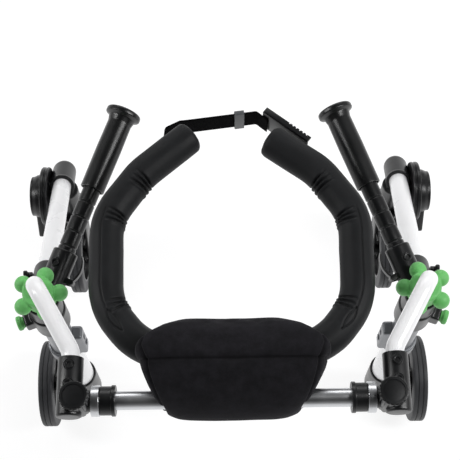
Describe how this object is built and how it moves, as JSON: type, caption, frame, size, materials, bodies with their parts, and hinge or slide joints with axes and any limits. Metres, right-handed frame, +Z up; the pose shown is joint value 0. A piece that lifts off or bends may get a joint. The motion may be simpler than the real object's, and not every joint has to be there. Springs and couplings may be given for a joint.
{
  "type": "posterior gait trainer",
  "caption": "Walking frame that stands behind its user, with a padded hip ring and back pad, telescopic posts, sloping front legs on casters, and turning, sliding hand grips",
  "frame": {"origin": "On the floor, below the middle of the overall box", "axes": "+X is the user's right, +Y is the way the user walks, +Z is up"},
  "size_m": [0.706, 0.5576, 0.7045],
  "materials": {
    "white_powder_coat": "glossy white powder coat on tube",
    "grey_powder_coat": "satin grey powder coat on tube",
    "black_moulding": "satin black moulded plastic",
    "black_rubber": "smooth black rubber with a soft shine",
    "grey_tyre": "matt dark grey solid tyre",
    "green_moulding": "matt green moulded plastic",
    "brushed_aluminium": "brushed aluminium",
    "bright_steel": "bright zinc plated steel",
    "charcoal_cover": "charcoal stretch cover over foam",
    "black_suede": "black napped cover over foam",
    "black_webbing": "black ribbed webbing",
    "grey_webbing": "light grey webbing loop"
  },
  "bodies": {
    "upper_frame": {"rear_crossbar": "brushed_aluminium", "hip_ring_core": "bright_steel", "right_ring_pad": "charcoal_cover", "left_ring_pad": "charcoal_cover", "back_pad": "black_suede", "pad_clamp": "brushed_aluminium", "front_strap": "black_webbing", "strap_keeper": "grey_webbing", "buckle_body": "black_moulding", "right_corner_fitting": "black_moulding", "left_corner_fitting": "black_moulding", "right_crossbar_collar": "brushed_aluminium", "left_crossbar_collar": "brushed_aluminium", "right_side_tube": "white_powder_coat", "left_side_tube": "white_powder_coat"},
    "buckle_lever": {"buckle_lever": "black_moulding"},
    "right_leg": {"right_leg_housing": "black_moulding", "right_column_tube": "grey_powder_coat", "right_post_collar": "grey_powder_coat", "right_lower_post": "white_powder_coat", "right_rear_axle_housing": "black_moulding", "right_rear_axle": "bright_steel", "right_front_leg_tube": "white_powder_coat", "right_caster_head": "black_moulding"},
    "left_leg": {"left_leg_housing": "black_moulding", "left_column_tube": "grey_powder_coat", "left_post_collar": "grey_powder_coat", "left_lower_post": "white_powder_coat", "left_rear_axle_housing": "black_moulding", "left_rear_axle": "bright_steel", "left_front_leg_tube": "white_powder_coat", "left_caster_head": "black_moulding"},
    "right_lock_lever": {"right_lock_lever": "black_moulding"},
    "left_lock_lever": {"left_lock_lever": "black_moulding"},
    "right_pull_pin": {"right_pull_pin": "green_moulding"},
    "left_pull_pin": {"left_pull_pin": "green_moulding"},
    "right_wing_knob": {"right_wing_knob": "black_moulding"},
    "left_wing_knob": {"left_wing_knob": "black_moulding"},
    "right_star_nut": {"right_star_nut": "green_moulding"},
    "left_star_nut": {"left_star_nut": "green_moulding"},
    "right_caster": {"right_caster_fork": "black_moulding", "right_front_axle": "bright_steel"},
    "left_caster": {"left_caster_fork": "black_moulding", "left_front_axle": "bright_steel"},
    "right_front_wheel": {"right_front_hub": "black_moulding", "right_front_tyre": "grey_tyre"},
    "left_front_wheel": {"left_front_hub": "black_moulding", "left_front_tyre": "grey_tyre"},
    "right_rear_wheel": {"right_rear_hub": "black_moulding", "right_rear_tyre": "grey_tyre"},
    "left_rear_wheel": {"left_rear_hub": "black_moulding", "left_rear_tyre": "grey_tyre"},
    "right_handle_bracket": {"right_handle_bracket": "black_moulding"},
    "left_handle_bracket": {"left_handle_bracket": "black_moulding"},
    "right_handle": {"right_handle_rod": "black_moulding", "right_grip": "black_rubber"},
    "left_handle": {"left_handle_rod": "black_moulding", "left_grip": "black_rubber"},
    "right_trigger": {"right_trigger": "black_moulding"},
    "left_trigger": {"left_trigger": "black_moulding"}
  },
  "joints": [
    {"name": "right_height_slide", "type": "slide", "parent": "upper_frame", "child": "right_leg", "axis": [0, 0, 1], "range_m": [-0.12, 0.012]},
    {"name": "left_height_slide", "type": "slide", "parent": "upper_frame", "child": "left_leg", "axis": [0, 0, 1], "range_m": [-0.12, 0.012]},
    {"name": "right_rear_wheel_spin", "type": "hinge", "parent": "right_leg", "child": "right_rear_wheel", "pos_m": [0.3321, -0.0918, 0.07751], "axis": [1, 0, 0], "continuous": true},
    {"name": "left_rear_wheel_spin", "type": "hinge", "parent": "left_leg", "child": "left_rear_wheel", "pos_m": [-0.3321, -0.0918, 0.07751], "axis": [1, 0, 0], "continuous": true},
    {"name": "right_caster_swivel", "type": "hinge", "parent": "right_leg", "child": "right_caster", "pos_m": [0.29053, 0.2152, 0.183], "axis": [0, 0, 1], "continuous": true},
    {"name": "left_caster_swivel", "type": "hinge", "parent": "left_leg", "child": "left_caster", "pos_m": [-0.29053, 0.2152, 0.183], "axis": [0, 0, 1], "continuous": true},
    {"name": "right_front_wheel_spin", "type": "hinge", "parent": "right_caster", "child": "right_front_wheel", "pos_m": [0.29053, 0.1652, 0.07751], "axis": [1, 0, 0], "continuous": true},
    {"name": "left_front_wheel_spin", "type": "hinge", "parent": "left_caster", "child": "left_front_wheel", "pos_m": [-0.29053, 0.1652, 0.07751], "axis": [1, 0, 0], "continuous": true},
    {"name": "right_lock_turn", "type": "hinge", "parent": "right_leg", "child": "right_lock_lever", "pos_m": [0.3345, 0.2072, 0.25], "axis": [-1, 0, 0], "range_deg": [0, 60]},
    {"name": "left_lock_turn", "type": "hinge", "parent": "left_leg", "child": "left_lock_lever", "pos_m": [-0.3345, 0.2072, 0.25], "axis": [-1, 0, 0], "range_deg": [0, 60]},
    {"name": "right_pin_pull", "type": "slide", "parent": "right_leg", "child": "right_pull_pin", "axis": [0.9397, -0.342, 0], "range_m": [0, 0.008], "stiffness_N_per_m": 300, "springref_m": -0.005},
    {"name": "left_pin_pull", "type": "slide", "parent": "left_leg", "child": "left_pull_pin", "axis": [-0.9397, -0.342, 0], "range_m": [0, 0.008], "stiffness_N_per_m": 300, "springref_m": -0.005},
    {"name": "right_wing_turn", "type": "hinge", "parent": "right_leg", "child": "right_wing_knob", "pos_m": [0.30616, -0.01732, 0.44952], "axis": [0.9991, -0.0338, 0.0256], "range_deg": [-90, 90]},
    {"name": "left_wing_turn", "type": "hinge", "parent": "left_leg", "child": "left_wing_knob", "pos_m": [-0.30616, -0.01732, 0.44952], "axis": [0.9991, 0.0338, -0.0256], "range_deg": [-90, 90]},
    {"name": "right_star_turn", "type": "hinge", "parent": "right_leg", "child": "right_star_nut", "pos_m": [0.27, -0.0918, 0.586], "axis": [0, 0, 1], "continuous": true},
    {"name": "left_star_turn", "type": "hinge", "parent": "left_leg", "child": "left_star_nut", "pos_m": [-0.27, -0.0918, 0.586], "axis": [0, 0, -1], "continuous": true},
    {"name": "right_handle_turn", "type": "hinge", "parent": "right_leg", "child": "right_handle_bracket", "pos_m": [0.27, -0.0918, 0.54315], "axis": [0, 0, 1], "range_deg": [-40, 0]},
    {"name": "left_handle_turn", "type": "hinge", "parent": "left_leg", "child": "left_handle_bracket", "pos_m": [-0.27, -0.0918, 0.54315], "axis": [0, 0, -1], "range_deg": [-40, 0]},
    {"name": "right_handle_slide", "type": "slide", "parent": "right_handle_bracket", "child": "right_handle", "axis": [-0.3605, 0.9245, 0.1236], "range_m": [0, 0.0235]},
    {"name": "left_handle_slide", "type": "slide", "parent": "left_handle_bracket", "child": "left_handle", "axis": [0.3605, 0.9245, 0.1236], "range_m": [0, 0.0235]},
    {"name": "right_trigger_press", "type": "hinge", "parent": "right_handle_bracket", "child": "right_trigger", "pos_m": [0.23146, -0.06316, 0.54822], "axis": [-0.0449, 0.1152, -0.9923], "range_deg": [0, 6], "stiffness_Nm_per_rad": 0.3, "springref_deg": -2.86},
    {"name": "left_trigger_press", "type": "hinge", "parent": "left_handle_bracket", "child": "left_trigger", "pos_m": [-0.23146, -0.06316, 0.54822], "axis": [-0.0449, -0.1152, 0.9923], "range_deg": [0, 6], "stiffness_Nm_per_rad": 0.3, "springref_deg": -2.86},
    {"name": "buckle_lever_turn", "type": "hinge", "parent": "upper_frame", "child": "buckle_lever", "pos_m": [0.05841, 0.16571, 0.612], "axis": [0, 0, 1], "range_deg": [0, 60]}
  ]
}
